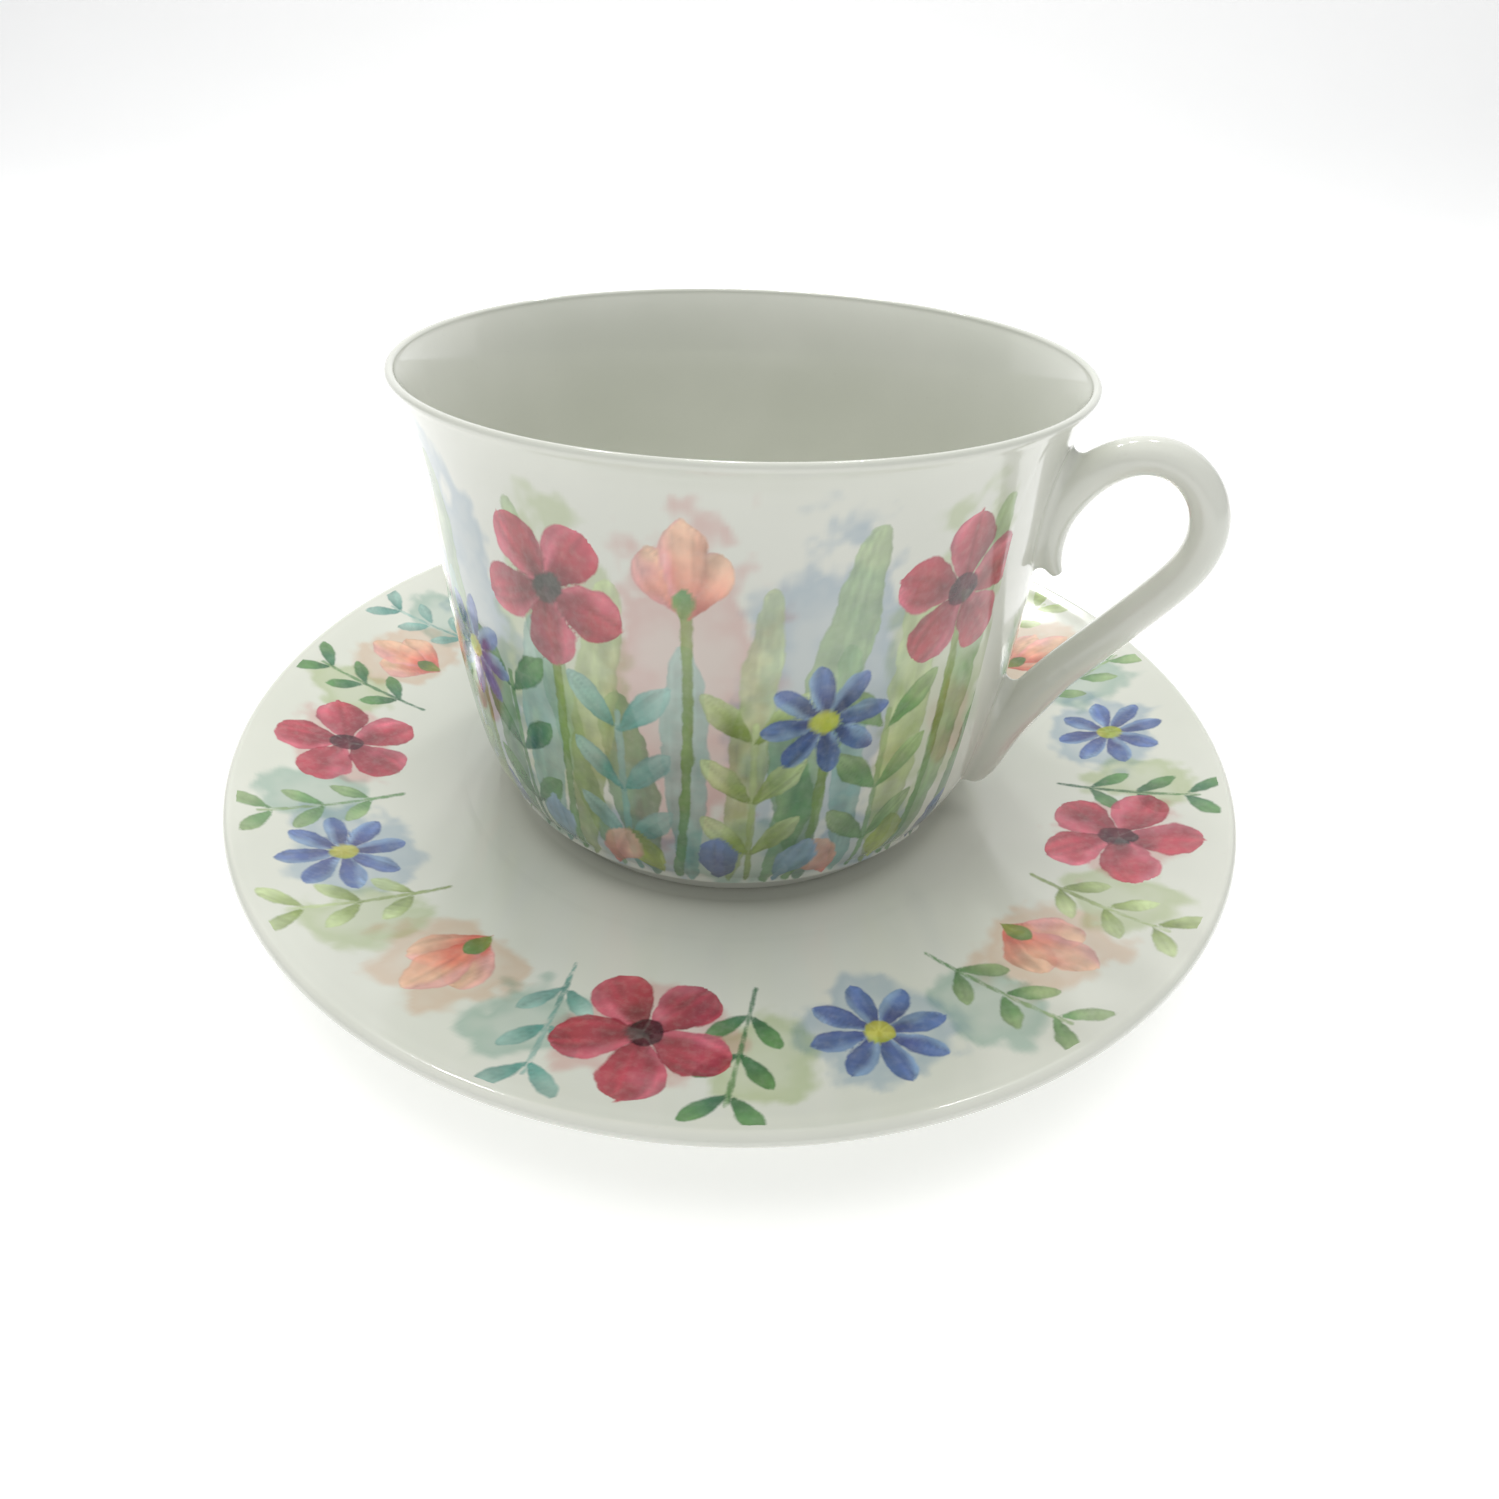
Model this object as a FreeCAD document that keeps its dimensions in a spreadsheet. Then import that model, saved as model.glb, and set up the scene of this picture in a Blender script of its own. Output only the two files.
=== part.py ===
"""Bone-china teacup on its saucer, millimetres, +Z up.

The origin is the middle of the saucer's foot, on the table. The cup stands in the saucer's well and its
handle points along +X. The handle is cast apart from the bowl and stuck on with slip, which leaves a small
collar at each end. The flower prints are transfers: thin printed films laid on the fired china.
"""

import math
import os

import FreeCAD
import Part
import Sketcher

V = FreeCAD.Vector
doc = FreeCAD.newDocument("teacup")

# ---------------------------------------------------------------- driving dimensions
DIMENSIONS = {
    "cup_height": 69.6,  # from the cup's foot to the middle of its lip
    "rim_radius": 49.1,
    "rim_wall": 1.2,
    "cup_foot_outer": 36.2,
    "cup_foot_inner": 33.4,
    "cup_foot_height": 2.2,
    "cup_under": 2.0,  # the bowl's underside inside its foot
    "cup_floor_top": 4.8,
    "cup_floor_radius": 26.0,
    "foot_taper": 0.4,
    "foot_round": 0.6,
    "saucer_radius": 79.1,  # to the middle of the lip's round
    "saucer_lip_height": 15.4,
    "saucer_lip_wall": 1.8,
    "saucer_lip_slope": 25.0,  # degrees
    "well_radius": 37.6,
    "well_top": 5.0,
    "well_depth": 0.5,
    "saucer_under": 2.3,  # the underside inside the foot
    "saucer_foot_outer": 46.0,
    "saucer_foot_inner": 42.6,
    "handle_width": 6.2,
    "slip_round": 1.1,  # radius of the slip worked into the corner between handle and wall
    "film": 0.12,
    "cup_print_low": 5.0,
    "cup_print_high": 69.0,
    "cup_print_gap": 34.0,  # degrees left bare at the handle
    "saucer_print_inner": 46.0,
    "saucer_print_outer": 78.5,
}
sheet = doc.addObject("Spreadsheet::Sheet", "Sizes")
for row, (alias, value) in enumerate(DIMENSIONS.items(), start=1):
    sheet.set(f"A{row}", alias)
    sheet.set(f"B{row}", str(value))
    sheet.setAlias(f"B{row}", alias)
doc.recompute()
size = {alias: float(sheet.get(alias)) for alias in DIMENSIONS}

# (radius, height above the cup's foot) on the outside of the bowl, between the foot and the lip
BOWL_OUTSIDE = [(37.7, 3.6), (39.4, 5.9), (41.4, 9.9), (42.8, 15.5), (43.9, 23.5), (44.7, 32.5), (45.3, 43.0),
                (45.6, 51.0), (46.0, 57.2), (46.8, 62.6), (47.9, 66.8)]
# the same on the inside, from the lip down to the flat floor
BOWL_INSIDE = [(46.5, 66.9), (45.2, 62.8), (44.2, 57.4), (43.7, 51.1), (43.4, 43.0), (42.8, 32.6),
               (42.0, 23.8), (40.7, 16.2), (38.6, 10.8), (35.0, 7.5), (30.8, 5.6)]
# (radius, height above the table) on the saucer's upper face, from the well outwards
SAUCER_TOP = [(44.0, 6.5), (54.0, 8.1), (64.0, 10.6), (72.0, 13.3)]
SAUCER_UNDER = [(54.0, 5.3), (64.0, 7.8), (72.0, 10.6)]
# (radius, height above the cup's foot, thickness in the handle's plane) along the handle's middle line, from
# the spur under its upper end, up the wall, round the loop and down to the lower end
HANDLE = [(48.5, 46.0, 1.4), (47.4, 47.8, 2.8), (46.7, 50.6, 4.0), (46.9, 54.6, 5.0), (48.4, 58.3, 5.5),
          (51.3, 61.8, 5.3), (55.1, 63.9, 4.9), (59.2, 63.9, 4.7), (62.8, 61.4, 4.6), (64.8, 57.1, 4.7),
          (64.5, 52.0, 4.8), (61.8, 46.6, 4.9), (57.9, 40.7, 5.0), (53.6, 34.4, 5.2), (49.6, 28.0, 5.6),
          (46.2, 21.8, 6.3), (43.7, 16.0, 6.8), (41.7, 10.6, 5.8)]
SPUR_WIDTHS = (0.34, 0.62, 0.92)  # shares of the handle's width at its first sections
LOWER_WIDTHS = (1.08, 1.18, 1.2)  # and at its last ones


# ---------------------------------------------------------------- turned bodies
def plane_of(body, role):
    return next(feature for feature in body.Origin.OriginFeatures if feature.Role == role)


def spline(points):
    curve = Part.BSplineCurve()
    curve.interpolate([V(r, z, 0) for r, z in points])
    return curve


def turned_body(label, corners, pieces):
    """A body of revolution about Z. A corner is (radius, height, its cell for the radius, its cell for the
    height), a cell being an expression on the sheet or None where the corner stays as it is drawn. pieces
    holds, for the run from each corner to the next, None for a line, one point for an arc through it, or
    the points of a spline."""
    body = doc.addObject("PartDesign::Body", label)
    body.Label = label
    sketch = body.newObject("Sketcher::SketchObject", label + "_outline")
    sketch.AttachmentSupport = (plane_of(body, "XZ_Plane"), [""])
    sketch.MapMode = "FlatFace"
    spots = [(corner[0], corner[1]) for corner in corners]
    for i, inner in enumerate(pieces):
        start, end = spots[i], spots[(i + 1) % len(spots)]
        if inner is None:
            sketch.addGeometry(Part.LineSegment(V(*start, 0), V(*end, 0)), False)
        elif len(inner) == 1:
            sketch.addGeometry(Part.Arc(V(*start, 0), V(*inner[0], 0), V(*end, 0)), False)
        else:
            sketch.addGeometry(spline([start] + inner + [end]), False)
    ends = []  # an arc may be stored the other way round
    for i, spot in enumerate(spots):
        forward = sketch.getPoint(i, 1).distanceToPoint(V(*spot, 0)) < 1e-4
        ends.append((1, 2) if forward else (2, 1))
    for i in range(len(pieces)):
        following = (i + 1) % len(pieces)
        sketch.addConstraint(Sketcher.Constraint("Coincident", i, ends[i][1], following, ends[following][0]))
    for i, (radius, height, radius_cell, height_cell) in enumerate(corners):
        for way, value, cell in (("DistanceX", radius, radius_cell), ("DistanceY", height, height_cell)):
            if cell is not None:
                index = sketch.addConstraint(Sketcher.Constraint(way, -1, 1, i, ends[i][0], value))
                sketch.renameConstraint(index, f"{way}_{i}")
                sketch.setExpression(f"Constraints.{way}_{i}", cell)
    doc.recompute()
    turn = body.newObject("PartDesign::Revolution", label + "_turned")
    turn.Profile = sketch
    turn.ReferenceAxis = (plane_of(body, "Z_Axis"), [""])
    turn.Angle = 360.0
    body.Tip = turn
    doc.recompute()
    return body


def round_foot(body):
    """Rounds the two lowest edges, where the foot stands."""
    turned = body.Tip
    low = turned.Shape.BoundBox.ZMin
    edges = [f"Edge{i}" for i, edge in enumerate(turned.Shape.Edges, start=1)
             if abs(edge.BoundBox.ZMax - low) < 1e-4 and edge.BoundBox.XLength > 1]
    fillet = body.newObject("PartDesign::Fillet", body.Label + "_foot_edge")
    fillet.Base = (turned, edges)
    fillet.Radius = size["foot_round"]
    fillet.setExpression("Radius", "Sizes.foot_round")
    body.Tip = fillet
    doc.recompute()


# ---------------------------------------------------------------- cup
def cup_body():
    lip_inside = size["rim_radius"] - size["rim_wall"]
    lip_top = (size["rim_radius"] - size["rim_wall"] / 2, size["cup_height"] + size["rim_wall"] / 2)
    body = turned_body(
        "cup_body",
        [
            (0, size["cup_under"], None, "Sizes.cup_under"),
            (size["cup_foot_inner"], size["cup_under"], "Sizes.cup_foot_inner", "Sizes.cup_under"),
            (size["cup_foot_inner"], 0, "Sizes.cup_foot_inner", None),
            (size["cup_foot_outer"] - size["foot_taper"], 0, "Sizes.cup_foot_outer - Sizes.foot_taper", None),
            (size["cup_foot_outer"], size["cup_foot_height"], "Sizes.cup_foot_outer", "Sizes.cup_foot_height"),
            (size["rim_radius"], size["cup_height"], "Sizes.rim_radius", "Sizes.cup_height"),
            (lip_inside, size["cup_height"], "Sizes.rim_radius - Sizes.rim_wall", "Sizes.cup_height"),
            (size["cup_floor_radius"], size["cup_floor_top"], "Sizes.cup_floor_radius", "Sizes.cup_floor_top"),
            (0, size["cup_floor_top"], None, "Sizes.cup_floor_top"),
        ],
        [None, None, None, None, BOWL_OUTSIDE, [lip_top], BOWL_INSIDE, None, None],
    )
    round_foot(body)
    body.Placement = FreeCAD.Placement(V(0, 0, size["well_top"]), FreeCAD.Rotation())
    return body


def bowl_filled():
    """The bowl with its hollow and foot filled, to trim what is stuck to its wall."""
    foot_edge = (size["cup_foot_outer"], size["cup_foot_height"])
    lip = (size["rim_radius"], size["cup_height"])
    wall = spline([foot_edge] + BOWL_OUTSIDE + [lip])
    wall.rotate(FreeCAD.Placement(V(), V(1, 0, 0), 90))
    low, high = V(0, 0, foot_edge[1]), V(0, 0, lip[1])
    outline = [Part.makeLine(low, V(foot_edge[0], 0, foot_edge[1])), wall.toShape(),
               Part.makeLine(V(lip[0], 0, lip[1]), high), Part.makeLine(high, low)]
    return Part.Face(Part.Wire(outline)).revolve(V(), V(0, 0, 1), 360)


def oval(centre, direction, thickness, width):
    """An oval section: thickness in the handle's plane, width across it."""
    in_plane = V(-direction.z, 0, direction.x)
    if thickness > width:
        ellipse = Part.Ellipse(centre + in_plane * (thickness / 2), centre + V(0, width / 2, 0), centre)
    else:
        ellipse = Part.Ellipse(centre + V(0, width / 2, 0), centre + in_plane * (thickness / 2), centre)
    return Part.Wire([ellipse.toShape()])


def handle_sections():
    spots = [V(r, 0, z) for r, z, _ in HANDLE]
    last = len(spots) - 1
    plain = len(spots) - len(SPUR_WIDTHS) - len(LOWER_WIDTHS)
    shares = [*SPUR_WIDTHS, *[1.0] * plain, *LOWER_WIDTHS]
    wires = []
    for i, spot in enumerate(spots):
        direction = (spots[min(i + 1, last)] - spots[max(i - 1, 0)]).normalize()
        wires.append(oval(spot, direction, HANDLE[i][2], size["handle_width"] * shares[i]))
    return wires


def largest_solid(shape):
    return max(shape.Solids, key=lambda solid: solid.Volume)


def stuck_on(label, shape):
    """A piece on the bowl's wall, placed with the cup in the well."""
    piece = doc.addObject("Part::Feature", label)
    piece.Label = label
    piece.Shape = shape
    piece.Placement = FreeCAD.Placement(V(0, 0, size["well_top"]), FreeCAD.Rotation())
    return piece


def slip_joints():
    """The slip in the corner between handle and wall: what rounding the corner adds to the two of them."""
    joined = filled.fuse(loop)
    corner = []
    for edge in joined.Edges:
        middle = Part.Vertex(edge.valueAt((edge.FirstParameter + edge.LastParameter) / 2))
        if middle.distToShape(loop)[0] < 1e-4 and middle.distToShape(filled)[0] < 1e-4:
            corner.append(edge)
    added = joined.makeFillet(size["slip_round"], corner).cut(joined)
    return sorted((largest_solid(part) for part in added.Solids), key=lambda solid: solid.BoundBox.ZMin)


def film_on(curve, low, high, start, sweep, turn_up):
    """A film on the surface that curve turns into, between two parameters, laid on the side turn_up says."""
    count = 14
    offset = []
    for i in range(count + 1):
        u = low + (high - low) * i / count
        spot, along = curve.value(u), curve.tangent(u)[0]
        normal = V(along.y, -along.x, 0) * turn_up
        offset.append((spot.x + normal.x * size["film"], spot.y + normal.y * size["film"]))
    outer = spline(offset)
    inner_edge = curve.toShape(low, high)
    outer_edge = outer.toShape()
    edges = [inner_edge, Part.makeLine(curve.value(high), outer.value(outer.LastParameter)), outer_edge,
             Part.makeLine(outer.value(outer.FirstParameter), curve.value(low))]
    face = Part.Face(Part.Wire(Part.__sortEdges__(edges)))
    face.rotate(V(), V(1, 0, 0), 90)
    face.rotate(V(), V(0, 0, 1), start)
    return face.revolve(V(), V(0, 0, 1), sweep)


def parameter_where(curve, measure, value):
    """The curve's parameter where measure(point) reaches value; measure grows along the curve."""
    low, high = curve.FirstParameter, curve.LastParameter
    for _ in range(50):
        middle = (low + high) / 2
        if measure(curve.value(middle)) < value:
            low = middle
        else:
            high = middle
    return low


cup = cup_body()
filled = bowl_filled()
whole_loop = Part.makeLoft(handle_sections(), True, False)
loop = largest_solid(whole_loop.cut(filled))
handle = stuck_on("handle", loop)
joints = slip_joints()
lower_collar = stuck_on("lower_slip_joint", joints[0])
upper_collar = stuck_on("upper_slip_joint", joints[-1])

wall_curve = spline([(size["cup_foot_outer"], size["cup_foot_height"])] + BOWL_OUTSIDE
                    + [(size["rim_radius"], size["cup_height"])])
cup_film = stuck_on("cup_transfer", film_on(
    wall_curve,
    parameter_where(wall_curve, lambda spot: spot.y, size["cup_print_low"]),
    parameter_where(wall_curve, lambda spot: spot.y, size["cup_print_high"]),
    size["cup_print_gap"] / 2, 360 - size["cup_print_gap"], 1,
))

# ---------------------------------------------------------------- saucer
slope = math.radians(size["saucer_lip_slope"])
half_lip = size["saucer_lip_wall"] / 2
lip_out, lip_up = half_lip * math.sin(slope), half_lip * math.cos(slope)
lip_upper = (size["saucer_radius"] - lip_out, size["saucer_lip_height"] + lip_up)
lip_lower = (size["saucer_radius"] + lip_out, size["saucer_lip_height"] - lip_up)
lip_nose = (size["saucer_radius"] + lip_up, size["saucer_lip_height"] + lip_out)
well_edge = (size["well_radius"] + 1.4, size["well_top"] + size["well_depth"])
FOOT_JOIN_OUTER, FOOT_JOIN_INNER, UNDER_FLAT = 3.9, 3.2, 37.0


def saucer_body():
    body = turned_body(
        "saucer",
        [
            (0, size["saucer_under"], None, "Sizes.saucer_under"),
            (UNDER_FLAT, size["saucer_under"], None, "Sizes.saucer_under"),
            (size["saucer_foot_inner"], FOOT_JOIN_INNER, "Sizes.saucer_foot_inner", None),
            (size["saucer_foot_inner"], 0, "Sizes.saucer_foot_inner", None),
            (size["saucer_foot_outer"] - size["foot_taper"], 0, "Sizes.saucer_foot_outer - Sizes.foot_taper", None),
            (size["saucer_foot_outer"], FOOT_JOIN_OUTER, "Sizes.saucer_foot_outer", None),
            (*lip_lower, None, None),
            (*lip_upper, None, None),
            (*well_edge, None, "Sizes.well_top + Sizes.well_depth"),
            (size["well_radius"], size["well_top"], "Sizes.well_radius", "Sizes.well_top"),
            (0, size["well_top"], None, "Sizes.well_top"),
        ],
        [None, None, None, None, None, SAUCER_UNDER, [lip_nose], SAUCER_TOP[::-1], None, None, None],
    )
    round_foot(body)
    return body


dish = saucer_body()
top_curve = spline([well_edge] + SAUCER_TOP + [lip_upper])
dish_film = doc.addObject("Part::Feature", "saucer_transfer")
dish_film.Label = "saucer_transfer"
dish_film.Shape = film_on(
    top_curve,
    parameter_where(top_curve, lambda spot: spot.x, size["saucer_print_inner"]),
    parameter_where(top_curve, lambda spot: spot.x, size["saucer_print_outer"]),
    0, 360, -1,
)

# ---------------------------------------------------------------- checks and export
doc.recompute()
failed = [thing.Name for thing in doc.Objects if "Invalid" in thing.State or "Error" in thing.State]
if failed:
    raise SystemExit(f"these objects failed: {failed}")
os.makedirs("parts", exist_ok=True)
for piece in (cup, handle, upper_collar, lower_collar, cup_film, dish, dish_film):
    shape = piece.Shape
    if shape.isNull() or not shape.isValid() or not shape.Solids:
        raise SystemExit(f"{piece.Label} has no valid solid")
    shape.exportStep(f"parts/{piece.Label}.step")
    box = shape.BoundBox
    print(f"{piece.Label}: {len(shape.Solids)} solid, {shape.Volume:.0f} mm3, "
          f"x {box.XMin:.1f}..{box.XMax:.1f}, z {box.ZMin:.1f}..{box.ZMax:.1f}")
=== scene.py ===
"""A china teacup on its saucer, with loose watercolour flowers printed on both.

Both are turned on a lathe here from the outlines of their CAD nodes. The flowers are painted in code: every
brush stroke is a shape with a signed distance to its edge, in millimetres on the wall or on the dish. The
strokes are kept as mesh attributes, which the print's material lays over the white china one after another.
"""
import math

import bpy
import numpy as np
from mathutils import Matrix, Vector


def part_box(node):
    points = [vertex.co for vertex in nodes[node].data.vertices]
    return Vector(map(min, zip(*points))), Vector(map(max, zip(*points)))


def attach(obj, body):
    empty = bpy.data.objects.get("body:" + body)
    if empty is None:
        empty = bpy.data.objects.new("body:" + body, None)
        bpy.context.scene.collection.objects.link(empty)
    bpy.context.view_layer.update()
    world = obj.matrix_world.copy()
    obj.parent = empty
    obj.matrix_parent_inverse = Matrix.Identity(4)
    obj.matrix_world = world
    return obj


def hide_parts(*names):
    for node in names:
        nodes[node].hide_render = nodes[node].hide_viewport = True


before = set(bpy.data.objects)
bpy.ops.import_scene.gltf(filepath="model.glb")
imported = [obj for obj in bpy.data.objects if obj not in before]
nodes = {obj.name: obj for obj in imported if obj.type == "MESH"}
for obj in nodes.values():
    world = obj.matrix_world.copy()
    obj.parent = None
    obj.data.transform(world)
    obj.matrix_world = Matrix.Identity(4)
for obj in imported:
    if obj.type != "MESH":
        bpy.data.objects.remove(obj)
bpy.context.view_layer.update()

MM = 0.001
scene = bpy.context.scene


# ------------------------------------------------------------------ noise and colour
def noise(x, y, seed):
    """Smooth value noise from 0 to 1, one lump for each unit of x and y."""
    table = np.random.default_rng(seed).random((64, 64))
    xi, yi = np.floor(x).astype(int), np.floor(y).astype(int)
    fx, fy = x - xi, y - yi
    fx, fy = fx * fx * (3 - 2 * fx), fy * fy * (3 - 2 * fy)
    x0, x1, y0, y1 = xi % 64, (xi + 1) % 64, yi % 64, (yi + 1) % 64
    low = table[x0, y0] * (1 - fx) + table[x1, y0] * fx
    high = table[x0, y1] * (1 - fx) + table[x1, y1] * fx
    return low * (1 - fy) + high * fy


def fractal(x, y, seed):
    """Three octaves of noise, from 0 to 1."""
    coarse, middle = noise(x, y, seed), noise(x * 2.1, y * 2.1, seed + 1)
    return 0.55 * coarse + 0.3 * middle + 0.15 * noise(x * 4.3, y * 4.3, seed + 2)


def smooth(low, high, value):
    t = np.clip((value - low) / (high - low), 0, 1)
    return t * t * (3 - 2 * t)


def linear(rgb):
    """An sRGB colour of 0 to 255 as linear light."""
    c = np.array(rgb, float) / 255
    return np.where(c <= 0.04045, c / 12.92, ((c + 0.055) / 1.055) ** 2.4)


INK = {name: linear(rgb) for name, rgb in {
    "crimson": (192, 62, 84), "deep_crimson": (148, 36, 60), "wine": (104, 26, 48), "black": (34, 16, 30),
    "coral": (222, 110, 98), "pink": (226, 112, 136), "pale_pink": (238, 176, 178), "peach": (240, 196, 168),
    "olive": (140, 162, 78), "leaf": (98, 150, 88), "dark_leaf": (46, 112, 76), "sage": (160, 186, 132),
    "pale_green": (198, 214, 160), "lime": (184, 200, 52), "yellow": (214, 208, 84),
    "teal": (96, 160, 152), "pale_teal": (164, 200, 192), "steel": (88, 132, 156), "sky": (156, 186, 220),
    "blue": (92, 118, 178), "navy": (62, 70, 136),
}.items()}


# ------------------------------------------------------------------ painting
LAYERS = 7
CLEAR = 1.0  # strokes in one layer keep this far apart, in mm


class Canvas:
    """Points on a printed surface, in mm, and the strokes laid on them."""

    def __init__(self, points):
        self.points = points
        count = len(points)
        self.edge = np.full((LAYERS, count), -4.0)  # signed distance to the stroke's edge, positive inside
        self.ink = np.ones((LAYERS, count, 4)) * 0.8
        self.wash = np.ones((count, 3))
        self.strokes = 0

    def near(self, at, reach):
        d = self.points - np.asarray(at)
        return np.nonzero(np.abs(d).max(axis=1) < reach)[0]

    def lay(self, idx, edge, colour, opacity):
        """Puts a stroke in the lowest layer that is above every stroke it overlaps."""
        self.strokes += 1
        near = edge > -CLEAR
        idx, edge, colour = idx[near], edge[near], colour[near]
        if len(idx) == 0:
            return
        layer = 0
        for k in range(LAYERS):
            if (self.edge[k, idx] > -CLEAR * 0.4).any():
                layer = k + 1
        layer = min(layer, LAYERS - 1)
        opacity = np.full(len(idx), opacity) if np.isscalar(opacity) else opacity[near]
        # the topmost layer is a union, whose later strokes win where they lie inside
        wins = edge > (np.minimum(self.edge[layer, idx], 0.0) if layer == LAYERS - 1 else self.edge[layer, idx])
        idx, edge, colour, opacity = idx[wins], edge[wins], colour[wins], opacity[wins]
        blend = smooth(-0.2, 0.3, edge)[:, None] if layer == LAYERS - 1 else 1.0
        blend = np.where((self.edge[layer, idx] > 0)[:, None], blend, 1.0)
        self.ink[layer, idx, :3] = self.ink[layer, idx, :3] * (1 - blend) + colour * blend
        self.ink[layer, idx, 3] = self.ink[layer, idx, 3] * (1 - blend[:, 0]) + opacity * blend[:, 0]
        self.edge[layer, idx] = np.maximum(edge, self.edge[layer, idx])


def turned(points, at, heading):
    """(along, across) of the points, from at, in the direction of heading in degrees."""
    d = points - np.asarray(at)
    c, s = math.cos(math.radians(heading)), math.sin(math.radians(heading))
    return d[:, 0] * c + d[:, 1] * s, -d[:, 0] * s + d[:, 1] * c


def petal(canvas, at, heading, length, width, root, tip, fat=0.75, blunt=0.7, ripple=0.1, veins=0.25,
          opacity=0.93, shade=None):
    """A petal or leaf that grows from at. fat below 1 puts its widest part nearer the tip. shade is a third
    ink that runs down one side."""
    seed = canvas.strokes * 7 + 11
    idx = canvas.near(at, length * 1.25 + width)
    along, across = turned(canvas.points[idx], at, heading)
    u = along / length
    inside = np.clip(u, 0.0, 1.0)
    half = width / 2 * np.sin(np.pi * inside ** (1 / fat)) ** blunt
    wobble = (fractal(along * 0.35, across * 0.35, seed) - 0.5) * ripple * width * 1.4
    edge = half - np.abs(across) + wobble * (half > 0)
    edge = np.minimum(edge * 0.9, np.minimum(along + 0.2, length - along + wobble))
    mix = smooth(0.05, 0.9, u + (noise(along * 0.3, across * 0.5, seed + 3) - 0.5) * 0.5)[:, None]
    colour = INK[root] * (1 - mix) + INK[tip] * mix
    side = across / np.maximum(half, 0.3)
    if shade:
        amount = smooth(0.1, 0.9, side + (noise(along * 0.4, across * 0.4, seed + 4) - 0.5))[:, None] * 0.75
        colour = colour * (1 - amount) + INK[shade] * amount
    streak = noise(along * 0.12, side * 3.2 + across * 0.5, seed + 5)
    pool = fractal(along * 0.5, across * 0.5, seed + 6)
    tone = 1 + veins * (streak - 0.5) * 1.5 + 0.5 * (pool - 0.5)
    colour = np.clip(colour * tone[:, None], 0, 1)
    canvas.lay(idx, edge, colour, opacity)


BLOB_OPACITY, BLOB_LUMPS = 0.9, 0.35


def blob(canvas, at, wide, tall, inks, heading, ripple):
    """A rounded dab of two mixed inks."""
    seed = canvas.strokes * 7 + 13
    idx = canvas.near(at, max(wide, tall) * 0.85 + 2)
    along, across = turned(canvas.points[idx], at, heading)
    distance = np.hypot(along / (wide / 2), across / (tall / 2))
    size = min(wide, tall) / 2
    edge = (1 - distance + (fractal(along * BLOB_LUMPS, across * BLOB_LUMPS, seed) - 0.5) * 2 * ripple) * size
    mix = fractal(along * 0.28 + 9, across * 0.28, seed + 4)
    mix = smooth(0.3, 0.7, mix)[:, None]
    colour = INK[inks[0]] * (1 - mix) + INK[inks[-1]] * mix
    tone = 1 + 0.55 * (fractal(along * 0.6, across * 0.6, seed + 8) - 0.5)
    canvas.lay(idx, edge, np.clip(colour * tone[:, None], 0, 1), BLOB_OPACITY)


STEM_OPACITY, STEM_DRY = 0.88, 0.15  # how thick the ink is, and how much the brush skips


def stem(canvas, spots, width, start, end):
    """A brush line through two or three places."""
    seed = canvas.strokes * 7 + 17
    spots = [np.asarray(spot, float) for spot in spots]
    if len(spots) == 2:
        spots.insert(1, (spots[0] + spots[1]) / 2)
    t = np.linspace(0, 1, 26)[:, None]
    line = spots[0] * (1 - t) ** 2 + 2 * spots[1] * t * (1 - t) + spots[2] * t * t
    middle = line.mean(axis=0)
    idx = canvas.near(middle, np.abs(line - middle).max() + width + 2)
    points = canvas.points[idx]
    best = np.full(len(points), 1e9)
    where = np.zeros(len(points))
    for i in range(len(line) - 1):
        a, ab = line[i], line[i + 1] - line[i]
        w = np.clip(((points - a) @ ab) / (ab @ ab), 0, 1)
        d = np.hypot(*(points - a - w[:, None] * ab).T)
        closer = d < best
        best[closer], where[closer] = d[closer], (i + w[closer]) / (len(line) - 1)
    edge = width / 2 - best + (fractal(points[:, 0] * 0.4, points[:, 1] * 0.4, seed) - 0.5) * 0.45 * width
    mix = smooth(0.1, 0.9, where)[:, None]
    colour = INK[start] * (1 - mix) + INK[end] * mix
    tone = 1 + 0.5 * (fractal(points[:, 0] * 0.5, points[:, 1] * 0.25, seed + 3) - 0.5)
    rough = fractal(points[:, 0] * 0.8, points[:, 1] * 0.3, seed + 5)
    opacity = STEM_OPACITY * (1 - STEM_DRY * 2 * np.abs(rough - 0.5))
    canvas.lay(idx, edge, np.clip(colour * tone[:, None], 0, 1), opacity)


def wash(canvas, at, wide, tall, ink, strength, heading=0.0):
    """A soft pool of thin colour with a broken edge, under all the strokes."""
    canvas.strokes += 1
    seed = canvas.strokes * 7 + 19
    idx = canvas.near(at, max(wide, tall) * 1.1)
    along, across = turned(canvas.points[idx], at, heading)
    broken = (fractal(along * 0.25, across * 0.25, seed) - 0.5) * 0.9
    distance = np.hypot(along / (wide / 2), across / (tall / 2)) + broken
    pooled = 0.55 + 0.45 * smooth(0.2, 0.95, distance)  # darker towards the edge, where it dried last
    amount = (smooth(1.05, 0.75, distance) * pooled * strength)[:, None]
    canvas.wash[idx] *= 1 - amount * (1 - INK[ink])


# ------------------------------------------------------------------ flowers
CRIMSON = ("deep_crimson", "crimson", "pink")
BLUE = ("navy", "blue", "sky")
PEACH = ("coral", "peach", "pale_pink")
LEAVES = (("dark_leaf", "leaf"), ("leaf", "sage"), ("olive", "pale_green"), ("teal", "pale_teal"))


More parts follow.
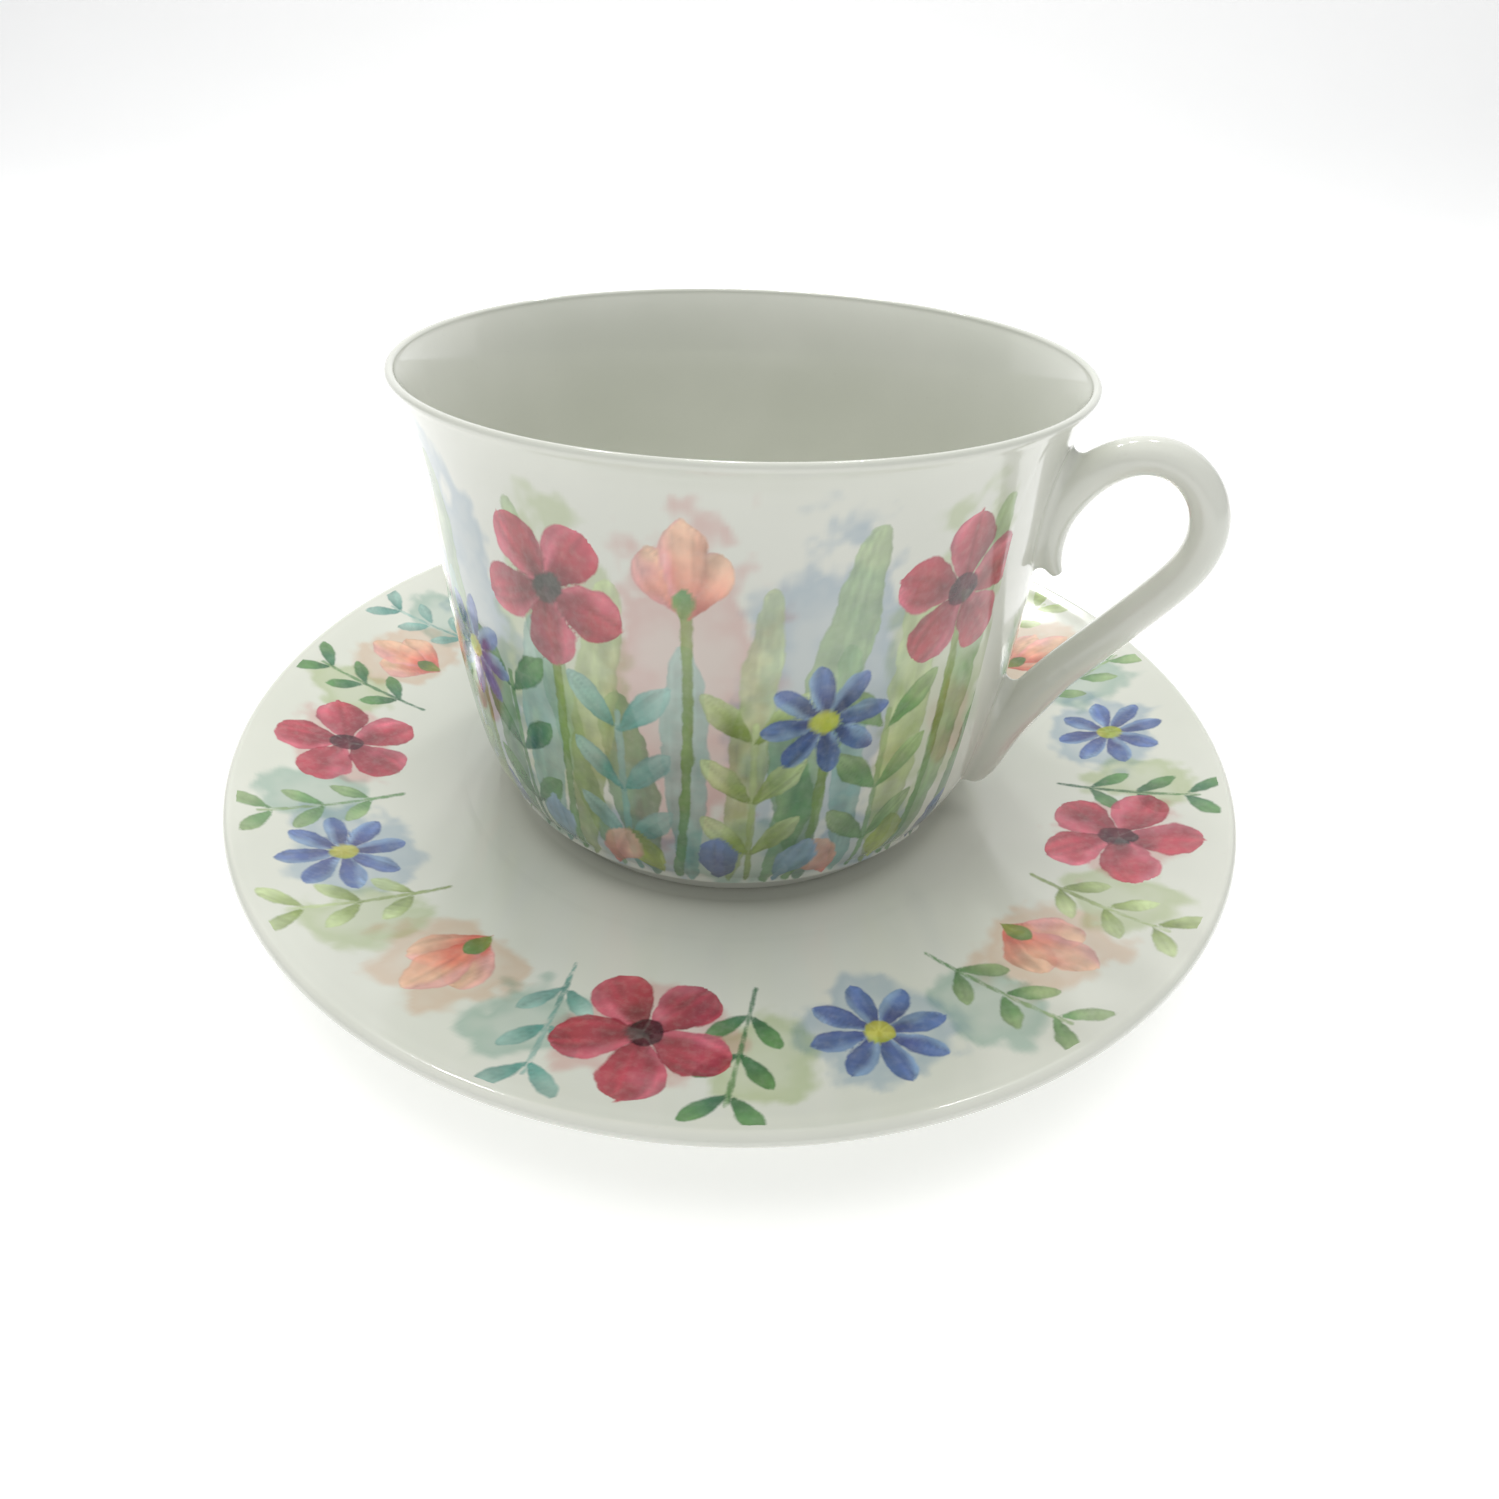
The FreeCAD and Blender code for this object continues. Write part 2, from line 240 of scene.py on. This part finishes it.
def bloom(canvas, at, size, turn, petals, width, inks, eye):
    """A plain open flower: equal petals at equal angles round an eye."""
    root, tip, shade = inks
    for k in range(petals):
        petal(canvas, at, turn + 360 * k / petals, size, size * width, root, tip, fat=0.62, blunt=0.6, ripple=0.14,
              shade=shade, veins=0.35)
    blob(canvas, at, size * 0.46, size * 0.40, eye, turn, ripple=0.3)


def crimson_bloom(canvas, at, size, turn):
    bloom(canvas, at, size, turn, 5, 0.72, CRIMSON, ("wine", "black"))


def blue_bloom(canvas, at, size, turn):
    bloom(canvas, at, size, turn, 8, 0.40, BLUE, ("yellow", "lime"))


def tulip(canvas, at, size, heading):
    """A closed flower of three petals on a small calyx."""
    root, tip, shade = PEACH
    for lean in (-24, 24, 0):
        length = size * (1 - abs(lean) / 110)
        petal(canvas, at, heading + lean, length, size * 0.46, root, tip, fat=0.6, ripple=0.14, shade=shade)
    petal(canvas, at, heading, size * 0.34, size * 0.22, "olive", "leaf")


def sprig(canvas, foot, heading, length, pairs, inks):
    """A stem with leaves in pairs."""
    a = math.radians(heading)
    tip = (foot[0] + length * math.cos(a), foot[1] + length * math.sin(a))
    stem(canvas, [foot, tip], length * 0.035, *inks)
    for k in range(pairs):
        share = (k + 0.7) / pairs
        spot = (foot[0] + (tip[0] - foot[0]) * share, foot[1] + (tip[1] - foot[1]) * share)
        for side in (-1, 1):
            petal(canvas, spot, heading + side * 42, length * 0.34, length * 0.13, *inks, ripple=0.16)


# ------------------------------------------------------------------ the prints: plain borders made by rule
WALL = 46.0  # the radius at which the wall is unrolled, in mm
BARE = 17.0  # degrees left bare on each side of the handle
WALL_FLOWERS = 15
DISH_FLOWERS = 15


def paint_wall(canvas):
    """Flowers on upright stems at equal steps round the wall, in three kinds by turns, over tall leaves."""
    step = (360 - 2 * BARE) / WALL_FLOWERS

    def at(place, height):
        return -math.radians(BARE + step * place) * WALL, height

    for k in range(WALL_FLOWERS):
        wash(canvas, at(k + 0.5, 38), 22, 52, ("pale_green", "sky", "pale_pink")[k % 3], 0.6)
        wash(canvas, at(k + 1.0, 12), 20, 16, ("sky", "pale_teal")[k % 2], 0.7)
    blades = 3 * WALL_FLOWERS
    for k in range(blades):
        place = (k + 0.5) * WALL_FLOWERS / blades
        petal(canvas, at(place, 5.0), 90 + 5 * (k % 5 - 2), 34 + 8 * (k * 3 % 4), 5.0 + k % 3, *LEAVES[k % 4],
              blunt=0.35, ripple=0.16, opacity=0.72)
    for k in range(WALL_FLOWERS):
        height = (51, 36, 56)[k % 3]
        stem(canvas, [at(k + 0.62, 6), at(k + 0.42, height * 0.5), at(k + 0.5, height)], 1.5, "leaf", "olive")
        sprig(canvas, at(k + 1.0, 6), 90, 30, 3, LEAVES[(k + 1) % 4])
    for k in range(WALL_FLOWERS):
        if k % 3 == 0:
            crimson_bloom(canvas, at(k + 0.5, 51), 10.5, 18 + 12 * k)
        elif k % 3 == 1:
            blue_bloom(canvas, at(k + 0.5, 36), 8.5, 9 * k)
        else:
            tulip(canvas, at(k + 0.5, 50), 13.0, 90)
    for k in range(2 * WALL_FLOWERS):
        inks = (("navy", "blue"), ("lime", "olive"), ("coral", "peach"), ("steel", "sky"))[k % 4]
        heading = 90 + 24 * (k % 3 - 1)
        petal(canvas, at((k + 0.5) / 2, 5.5), heading, 11.0, 6.0, *inks, ripple=0.22, opacity=0.85)


def on_ring(radius, angle):
    a = math.radians(angle)
    return radius * math.cos(a), radius * math.sin(a)


def paint_dish(canvas):
    """The same three flowers at equal steps round the dish, with a sprig between each and the next."""
    step = 360 / DISH_FLOWERS
    for k in range(DISH_FLOWERS):
        angle = step * k
        under_flower = ("pale_pink", "sky", "peach")[k % 3]
        under_sprig = ("pale_green", "pale_teal")[k % 2]
        wash(canvas, on_ring(65, angle), 22, 17, under_flower, 0.6, heading=angle - 90)
        wash(canvas, on_ring(68, angle + step / 2), 16, 13, under_sprig, 0.7, heading=angle)
    for k in range(DISH_FLOWERS):
        angle = step * (k + 0.5)
        sprig(canvas, on_ring(56, angle), angle + 14 * (k % 2 * 2 - 1), 20, 3, LEAVES[k % 4])
    for k in range(DISH_FLOWERS):
        angle = step * k
        if k % 3 == 0:
            crimson_bloom(canvas, on_ring(65, angle), 11.0, angle)
        elif k % 3 == 1:
            blue_bloom(canvas, on_ring(66, angle), 8.5, angle)
        else:
            tulip(canvas, on_ring(58, angle), 14.0, angle)


# ------------------------------------------------------------------ turned shapes
def seam(node):
    """A turned CAD node's outline, (radius, height) in metres, walked along its seam in the XZ plane from
    its underside to its upper face."""
    mesh = nodes[node].data
    spots = {v.index: (round(v.co.x, 7), round(v.co.z, 7)) for v in mesh.vertices
             if abs(v.co.y) < 1e-6 and v.co.x > -1e-9}
    links = {}
    for e in mesh.edges:
        a, b = e.vertices
        if a in spots and b in spots and spots[a] != spots[b]:
            links.setdefault(spots[a], set()).add(spots[b])
            links.setdefault(spots[b], set()).add(spots[a])
    ends = sorted((spot for spot, joined in links.items() if len(joined) == 1), key=lambda spot: spot[1])
    walk = [ends[0]]
    while True:
        onward = [spot for spot in links[walk[-1]] if len(walk) < 2 or spot != walk[-2]]
        if not onward:
            return np.array(walk)
        walk.append(onward[0])


def refined(outline, step):
    """The outline with points no further apart than step: curved where it bends gently, sharp at corners."""
    before, after = outline[1:-1] - outline[:-2], outline[2:] - outline[1:-1]
    cross = before[:, 0] * after[:, 1] - before[:, 1] * after[:, 0]
    turn = np.abs(np.arctan2(cross, (before * after).sum(axis=1)))
    corner = np.concatenate([[True], turn > math.radians(24), [True]])
    points = []
    for i in range(len(outline) - 1):
        p1, p2 = outline[i], outline[i + 1]
        length = np.hypot(*(p2 - p1))
        p0 = 2 * p1 - p2 if corner[i] else outline[i - 1]
        p3 = 2 * p2 - p1 if corner[i + 1] else outline[i + 2]
        # tangents scaled to this piece's length, so uneven points don't overshoot
        m1 = (p2 - p0) / max(np.hypot(*(p2 - p0)), 1e-9) * length
        m2 = (p3 - p1) / max(np.hypot(*(p3 - p1)), 1e-9) * length
        count = max(1, math.ceil(length / step))
        t = np.arange(count)[:, None] / count
        points.append((2 * t**3 - 3 * t**2 + 1) * p1 + (t**3 - 2 * t**2 + t) * m1
                      + (-2 * t**3 + 3 * t**2) * p2 + (t**3 - t**2) * m2)
    return np.vstack(points + [outline[-1:]])


def new_object(name, verts, quads, material):
    mesh = bpy.data.meshes.new(name)
    mesh.vertices.add(len(verts))
    mesh.vertices.foreach_set("co", np.asarray(verts, np.float32).ravel())
    mesh.loops.add(len(quads) * 4)
    mesh.loops.foreach_set("vertex_index", np.asarray(quads, np.int32).ravel())
    mesh.polygons.add(len(quads))
    mesh.polygons.foreach_set("loop_start", np.arange(len(quads), dtype=np.int32) * 4)
    mesh.update(calc_edges=True)
    mesh.validate()
    mesh.shade_smooth()
    obj = bpy.data.objects.new(name, mesh)
    scene.collection.objects.link(obj)
    obj.data.materials.append(material)
    return obj


def grid_quads(rows, columns, closed):
    """Quads of a grid of points, row after row; closed joins the last column to the first."""
    i, j = np.meshgrid(np.arange(rows - 1), np.arange(columns if closed else columns - 1), indexing="ij")
    k = (j + 1) % columns
    here, above = i * columns, (i + 1) * columns
    return np.stack([here + j, here + k, above + k, above + j], axis=-1).reshape(-1, 4)


def lathe(name, node, material, step, around):
    """The CAD node's outline turned about Z, closed at the axis by small discs."""
    outline = refined(seam(node), step)
    hub = 0.4 * MM
    under = np.array([[hub, outline[0][1]]])
    floor = np.array([[hub, outline[-1][1]]])

    def ring_steps(start, end):
        count = 16
        return start + (end - start) * (np.arange(count) / count)[:, None]

    below, inside = ring_steps(under[0], outline[0]), ring_steps(outline[-1], floor[0])
    outline = np.vstack([below, outline[:-1], inside, floor])
    angle = np.arange(around) * 2 * math.pi / around
    verts = np.stack([outline[:, :1] * np.cos(angle), outline[:, :1] * np.sin(angle),
                      np.repeat(outline[:, 1:], around, axis=1)], axis=-1).reshape(-1, 3)
    obj = new_object(name, verts, grid_quads(len(outline), around, True), material)
    cap_holes(obj)
    sharpen(obj, 38)
    return obj


def cap_holes(obj):
    import bmesh
    mesh = bmesh.new()
    mesh.from_mesh(obj.data)
    mesh.edges.ensure_lookup_table()
    bmesh.ops.holes_fill(mesh, edges=[e for e in mesh.edges if e.is_boundary], sides=0)
    bmesh.ops.recalc_face_normals(mesh, faces=mesh.faces)
    for face in mesh.faces:
        face.smooth = True
    mesh.to_mesh(obj.data)
    mesh.free()


def sharpen(obj, degrees):
    obj.data.set_sharp_from_angle(angle=math.radians(degrees))


FADE = 3  # rows over which a film thins out at its border


def film(name, node, path, start, sweep, step, material):
    """A printed film on a turned surface. path is the surface's outline along the film, in metres, from low
    or inner to high or outer, with the outside on its right-hand side."""
    along = np.gradient(path, axis=0)
    normal = np.stack([along[:, 1], -along[:, 0]], axis=1) / np.hypot(*along.T)[:, None]
    if node == "saucer_transfer":
        normal = -normal
    closed = sweep > 359.9
    columns = int(math.radians(sweep) * path[:, 0].mean() / step)
    turn = np.arange(columns) * (sweep / columns if closed else sweep / (columns - 1)) + start
    angle = np.radians(turn)
    # the film thins out to nothing at its borders
    rows = np.arange(len(path))
    thin = smooth(0, FADE, np.minimum(rows, len(path) - 1 - rows))[:, None]
    if not closed:
        thin = thin * smooth(0, FADE, np.minimum(np.arange(columns), columns - 1 - np.arange(columns)))
    rise = (-0.006 + 0.056 * thin) * MM * np.ones(columns)
    radius = path[:, :1] + normal[:, :1] * rise
    height = path[:, 1:] + normal[:, 1:] * rise
    verts = np.stack([radius * np.cos(angle), radius * np.sin(angle), height], axis=-1).reshape(-1, 3)
    quads = grid_quads(len(path), columns, closed)
    if node == "saucer_transfer":
        quads = quads[:, ::-1]
    obj = new_object(name, verts, quads, material)
    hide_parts(node)
    return obj, turn


def store(obj, canvas):
    """Writes the strokes on the mesh as attributes."""
    mesh = obj.data
    for k in range(LAYERS):
        attribute = mesh.attributes.new(f"edge_{k}", "FLOAT", "POINT")
        attribute.data.foreach_set("value", canvas.edge[k].astype(np.float32))
        attribute = mesh.attributes.new(f"ink_{k}", "FLOAT_COLOR", "POINT")
        attribute.data.foreach_set("color", canvas.ink[k].astype(np.float32).ravel())
    attribute = mesh.attributes.new("wash", "FLOAT_COLOR", "POINT")
    wash_ = np.concatenate([canvas.wash, np.ones((len(canvas.wash), 1))], axis=1)
    attribute.data.foreach_set("color", wash_.astype(np.float32).ravel())


# ------------------------------------------------------------------ materials
CHINA = (0.745, 0.755, 0.69)  # warm greenish white, linear
CHINA_SHADE = (0.70, 0.715, 0.645)


class Graph:
    """A material's node tree, with short ways to add and join nodes."""

    def __init__(self, name):
        self.material = bpy.data.materials.new(name)
        self.material.use_nodes = True
        self.tree = self.material.node_tree
        self.shader = self.tree.nodes["Principled BSDF"]

    def add(self, kind, **sockets):
        node = self.tree.nodes.new(kind)
        for key, value in sockets.items():
            if key in node.inputs.keys():
                self.plug(value, node.inputs[key])
            else:
                setattr(node, key, value)
        return node

    def plug(self, value, socket):
        if isinstance(value, bpy.types.NodeSocket):
            self.tree.links.new(value, socket)
        elif isinstance(value, bpy.types.Node):
            self.tree.links.new(value.outputs[0], socket)
        else:
            socket.default_value = value

    def math(self, operation, a, b=0.0, c=0.0):
        node = self.tree.nodes.new("ShaderNodeMath")
        node.operation = operation
        for value, socket in zip((a, b, c), node.inputs):
            self.plug(value, socket)
        return node.outputs[0]

    def ramp(self, value, low, high, out_low=0.0, out_high=1.0):
        node = self.tree.nodes.new("ShaderNodeMapRange")
        node.interpolation_type = "SMOOTHSTEP"
        for name, given in (("Value", value), ("From Min", low), ("From Max", high),
                            ("To Min", out_low), ("To Max", out_high)):
            self.plug(given, node.inputs[name])
        return node.outputs[0]

    def mix(self, factor, a, b, blend="MIX"):
        node = self.tree.nodes.new("ShaderNodeMix")
        node.data_type = "RGBA"
        node.blend_type = blend
        for socket, value in ((node.inputs[0], factor), (node.inputs[6], a), (node.inputs[7], b)):
            if isinstance(value, tuple):
                value = (*value, 1.0) if len(value) == 3 else value
            self.plug(value, socket)
        return node.outputs[2]

    def noise(self, coordinates, scale, detail=3.0, roughness=0.5):
        node = self.tree.nodes.new("ShaderNodeTexNoise")
        self.plug(coordinates, node.inputs["Vector"])
        for name, given in (("Scale", scale), ("Detail", detail), ("Roughness", roughness)):
            node.inputs[name].default_value = given
        return node.outputs["Fac"]


def china_base(graph, coordinates):
    """The glazed body's colour: nearly even, with a faint cloudiness."""
    cloud = graph.ramp(graph.noise(coordinates, 38.0, 2.0), 0.3, 0.7)
    return graph.mix(cloud, CHINA_SHADE, CHINA)


def glaze(graph, coordinates, colour, rough_low=0.09, rough_high=0.15):
    """A clear glaze: smooth, a little uneven where it was dipped, with fine orange peel."""
    shader = graph.shader
    graph.plug(colour, shader.inputs["Base Color"])
    smear = graph.noise(coordinates, 90.0, 4.0, 0.6)
    peel = graph.noise(coordinates, 1500.0, 2.0)
    lump = graph.noise(coordinates, 210.0, 1.0)
    bump = graph.add("ShaderNodeBump", Strength=0.05, Distance=0.00006,
                     Height=graph.math("MULTIPLY_ADD", peel, 0.25, lump))
    graph.plug(bump.outputs["Normal"], shader.inputs["Normal"])
    shader.inputs["IOR"].default_value = 1.52
    shader.inputs["Coat Weight"].default_value = 0.35
    shader.inputs["Coat Roughness"].default_value = 0.05
    return graph.ramp(smear, 0.3, 0.7, rough_low, rough_high)


def china_material(name, foot_height, foot_top):
    """Glazed china whose foot rim, below foot_height, was ground bare. Heights are in metres on the object."""
    graph = Graph(name)
    coordinates = graph.add("ShaderNodeTexCoord").outputs["Object"]
    height = graph.add("ShaderNodeSeparateXYZ", Vector=coordinates).outputs["Z"]
    wavy = graph.math("MULTIPLY_ADD", graph.noise(coordinates, 260.0, 2.0), 0.0003, height)
    bare = graph.ramp(wavy, foot_height, foot_top, 1.0, 0.0)
    colour = graph.mix(bare, china_base(graph, coordinates), (0.62, 0.60, 0.53))
    speck = graph.ramp(graph.noise(coordinates, 900.0, 2.0), 0.70, 0.76)
    colour = graph.mix(graph.math("MULTIPLY", speck, 0.06), colour, (0.45, 0.42, 0.36))
    rough = glaze(graph, coordinates, colour)
    rough = graph.math("MAXIMUM", rough, graph.math("MULTIPLY", bare, 0.72))
    graph.plug(rough, graph.shader.inputs["Roughness"])
    return graph.material


POOLED = (0.55, 0.55, 0.62)  # what a stroke's colour is multiplied by where ink gathered at its edge


def print_material(name):
    """The transfer: strokes laid one layer over another on the white, with pooled edges and grain."""
    graph = Graph(name)
    coordinates = graph.add("ShaderNodeTexCoord").outputs["Object"]

    def attribute(label):
        return graph.add("ShaderNodeAttribute", attribute_name=label)

    grain = graph.noise(coordinates, 900.0, 2.0, 0.5)
    ragged = graph.math("SUBTRACT", graph.noise(coordinates, 620.0, 3.0, 0.6), 0.5)
    pool = graph.noise(coordinates, 170.0, 3.0)
    colour = graph.mix(1.0, china_base(graph, coordinates), attribute("wash").outputs["Color"], "MULTIPLY")
    for k in range(LAYERS):
        edge = graph.math("MULTIPLY_ADD", ragged, 0.5, attribute(f"edge_{k}").outputs["Fac"])
        stroke = attribute(f"ink_{k}")
        cover = graph.ramp(edge, -0.16, 0.26)
        rim = graph.math("MULTIPLY", graph.ramp(edge, 0.05, 0.55, 1.0, 0.0), 0.22)
        pooled = graph.mix(1.0, stroke.outputs["Color"], POOLED, "MULTIPLY")
        ink = graph.mix(rim, stroke.outputs["Color"], pooled)
        tone = graph.ramp(pool, 0.3, 0.7, 0.82, 1.12)
        grey = graph.add("ShaderNodeCombineColor", Red=tone, Green=tone, Blue=tone).outputs[0]
        ink = graph.mix(1.0, ink, grey, "MULTIPLY")
        ink = graph.mix(graph.math("MULTIPLY", graph.ramp(grain, 0.35, 0.85), 0.10), ink, CHINA)
        under = graph.mix(0.24, ink, graph.mix(1.0, ink, colour, "MULTIPLY"))
        colour = graph.mix(graph.math("MULTIPLY", cover, stroke.outputs["Alpha"]), colour, under)
    rough = glaze(graph, coordinates, colour, 0.10, 0.17)
    graph.plug(rough, graph.shader.inputs["Roughness"])
    return graph.material


# ------------------------------------------------------------------ build
cup_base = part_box("cup_body")[0][2]
cup_china = china_material("cup_china", cup_base + 0.25 * MM, cup_base + 0.6 * MM)
saucer_china = china_material("saucer_china", 0.25 * MM, 0.6 * MM)
cup_print = print_material("cup_print")
saucer_print = print_material("saucer_print")

bowl = lathe("china_cup", "cup_body", cup_china, 0.7 * MM, 288)
dish = lathe("china_saucer", "saucer", saucer_china, 0.8 * MM, 320)
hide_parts("cup_body")
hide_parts("saucer")
for name in ("handle", "upper_slip_joint", "lower_slip_joint"):
    mesh = nodes[name].data
    if mesh.materials:
        mesh.materials[0] = cup_china
    else:
        mesh.materials.append(cup_china)

wall = refined(seam("cup_body"), 0.3 * MM)
wall = wall[: np.argmax(wall[:, 1])]
wall = wall[np.argmax(wall[:, 0] > wall[:, 0].min() + 6 * MM):]
low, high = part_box("cup_transfer")[0][2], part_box("cup_transfer")[1][2]
heights = np.linspace(low + 0.1 * MM, high - 0.1 * MM, int((high - low) / (0.43 * MM)))
order = np.argsort(wall[:, 1])
path = np.stack([np.interp(heights, wall[order, 1], wall[order, 0]), heights], axis=1)
film_verts = np.array([v.co[:2] for v in nodes["cup_transfer"].data.vertices])
gap = math.degrees(np.abs(np.arctan2(film_verts[:, 1], film_verts[:, 0])).min())
INSET = 0.3  # degrees that the film stops short of its CAD node's ends
first, sweep = gap + INSET, 360 - 2 * (gap + INSET)
cup_film, turn = film("printed_wall", "cup_transfer", path, first, sweep, 0.43 * MM, cup_print)
angles, levels = np.meshgrid(np.radians(turn - 360) * WALL, (path[:, 1] - cup_base) / MM)
canvas = Canvas(np.stack([angles.ravel(), levels.ravel()], axis=1))
paint_wall(canvas)
store(cup_film, canvas)

top = refined(seam("saucer"), 0.3 * MM)
top = top[np.argmax(top[:, 0]):][::-1]
(_, _, _), (outer, _, _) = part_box("saucer_transfer")
ring = np.array([v.co[:2] for v in nodes["saucer_transfer"].data.vertices])
inner = np.hypot(*ring.T).min()
radii = np.linspace(inner + 0.1 * MM, outer - 0.1 * MM, int((outer - inner) / (0.45 * MM)))
order = np.argsort(top[:, 0])
path = np.stack([radii, np.interp(radii, top[order, 0], top[order, 1])], axis=1)
dish_film, turn = film("printed_dish", "saucer_transfer", path, 0.0, 360.0, 0.45 * MM, saucer_print)
angle = np.radians(turn)
radius = path[:, :1] / MM
points = np.stack([radius * np.cos(angle), radius * np.sin(angle)], axis=-1).reshape(-1, 2)
canvas = Canvas(points)
paint_dish(canvas)
store(dish_film, canvas)

for piece, body in ((bowl, "cup"), (cup_film, "cup"), (dish, "saucer"), (dish_film, "saucer")):
    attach(piece, body)

# ------------------------------------------------------------------ floor, light and camera
AZIMUTH = math.radians(26)  # the camera stands to the right of straight in front
right = Vector((math.cos(AZIMUTH), math.sin(AZIMUTH), 0))
ahead = Vector((-math.sin(AZIMUTH), math.cos(AZIMUTH), 0))
up = Vector((0, 0, 1))


def backdrop():
    """A pale floor that curves up behind."""
    graph = Graph("studio_floor")
    coordinates = graph.add("ShaderNodeTexCoord").outputs["Object"]
    tone = graph.ramp(graph.noise(coordinates, 3.0), 0.3, 0.7)
    graph.plug(graph.mix(tone, (0.90, 0.90, 0.90), (0.92, 0.92, 0.92)), graph.shader.inputs["Base Color"])
    graph.shader.inputs["Roughness"].default_value = 0.9
    graph.shader.inputs["Emission Color"].default_value = (1, 1, 1, 1)
    graph.shader.inputs["Emission Strength"].default_value = 0.36
    profile = [(-1.6, 0.0), (0.9, 0.0)]
    profile += [(0.9 + 0.7 * math.sin(a), 0.7 - 0.7 * math.cos(a)) for a in np.linspace(0.1, math.pi / 2, 12)]
    profile += [(1.6, 2.4)]
    columns = np.linspace(-2.4, 2.4, 9)
    verts = [right * x + ahead * y + up * z for y, z in profile for x in columns]
    quads = grid_quads(len(profile), len(columns), False)[:, ::-1]
    floor = new_object("floor", [tuple(v) for v in verts], quads, graph.material)


def softbox(name, place, size, power, tint=(1, 1, 1), glossy=True):
    """An area light aimed at the cup. place is (right, ahead, up) as the camera sees it, in metres. One that
    isn't glossy lights the china but doesn't show in its glaze."""
    data = bpy.data.lights.new(name, "AREA")
    data.shape = "RECTANGLE"
    data.size, data.size_y = size
    data.energy = power
    data.color = tint
    light = bpy.data.objects.new(name, data)
    light.visible_glossy = glossy
    light.location = right * place[0] + ahead * place[1] + up * place[2]
    light.rotation_euler = (Vector((0, 0, 0.04)) - light.location).to_track_quat("-Z", "Y").to_euler()
    scene.collection.objects.link(light)


PANEL, LAMP = (0.9, 0.7), (0.08, 0.035)  # width and depth, in metres
WARM = (1.0, 1.0, 0.965)

backdrop()
softbox("key", (-0.60, 0.10, 0.95), PANEL, 2.9, WARM, glossy=False)
softbox("front", (0.10, -0.9, 0.65), PANEL, 0.5, WARM, glossy=False)
softbox("ceiling", (0.15, -0.05, 1.25), (0.8, 0.8), 6.4, (1.0, 1.0, 0.96), glossy=False)
for name, place in (("lamp_left", (-0.30, 0.62, 0.95)), ("lamp_middle", (-0.04, 0.70, 0.95)),
                    ("lamp_right", (0.24, 0.62, 0.95))):
    softbox(name, place, LAMP, 1.1)

world = bpy.data.worlds.new("studio")
world.use_nodes = True
world.node_tree.nodes["Background"].inputs["Color"].default_value = (0.97, 0.985, 1.0, 1)
world.node_tree.nodes["Background"].inputs["Strength"].default_value = 0.34
scene.world = world
scene.view_settings.view_transform = "Standard"

FRAME = 1499  # the photograph's width
SENSOR = 36.0
FOCAL = 920.0 / FRAME * SENSOR
PITCH, ROLL = 0.5006, 0.0302  # radians
STANDS_OFF, STANDS_UP = 134.35 * MM, 105.67 * MM  # from the cup's axis, and above the table
camera_data = bpy.data.cameras.new("camera")
camera_data.sensor_width = SENSOR
camera_data.lens = FOCAL
camera_data.shift_x, camera_data.shift_y = 0.0089, -0.0933
camera_data.clip_start = 0.005
camera = bpy.data.objects.new("camera", camera_data)
forward = ahead * math.cos(PITCH) - up * math.sin(PITCH)
level_up = right.cross(forward)
side = right * math.cos(ROLL) + level_up * math.sin(ROLL)
top_axis = side.cross(forward)
spot = ahead * -STANDS_OFF + up * STANDS_UP
axes = Matrix((side, top_axis, -forward)).transposed().to_4x4()
camera.matrix_world = Matrix.Translation(spot) @ axes
scene.collection.objects.link(camera)
scene.camera = camera
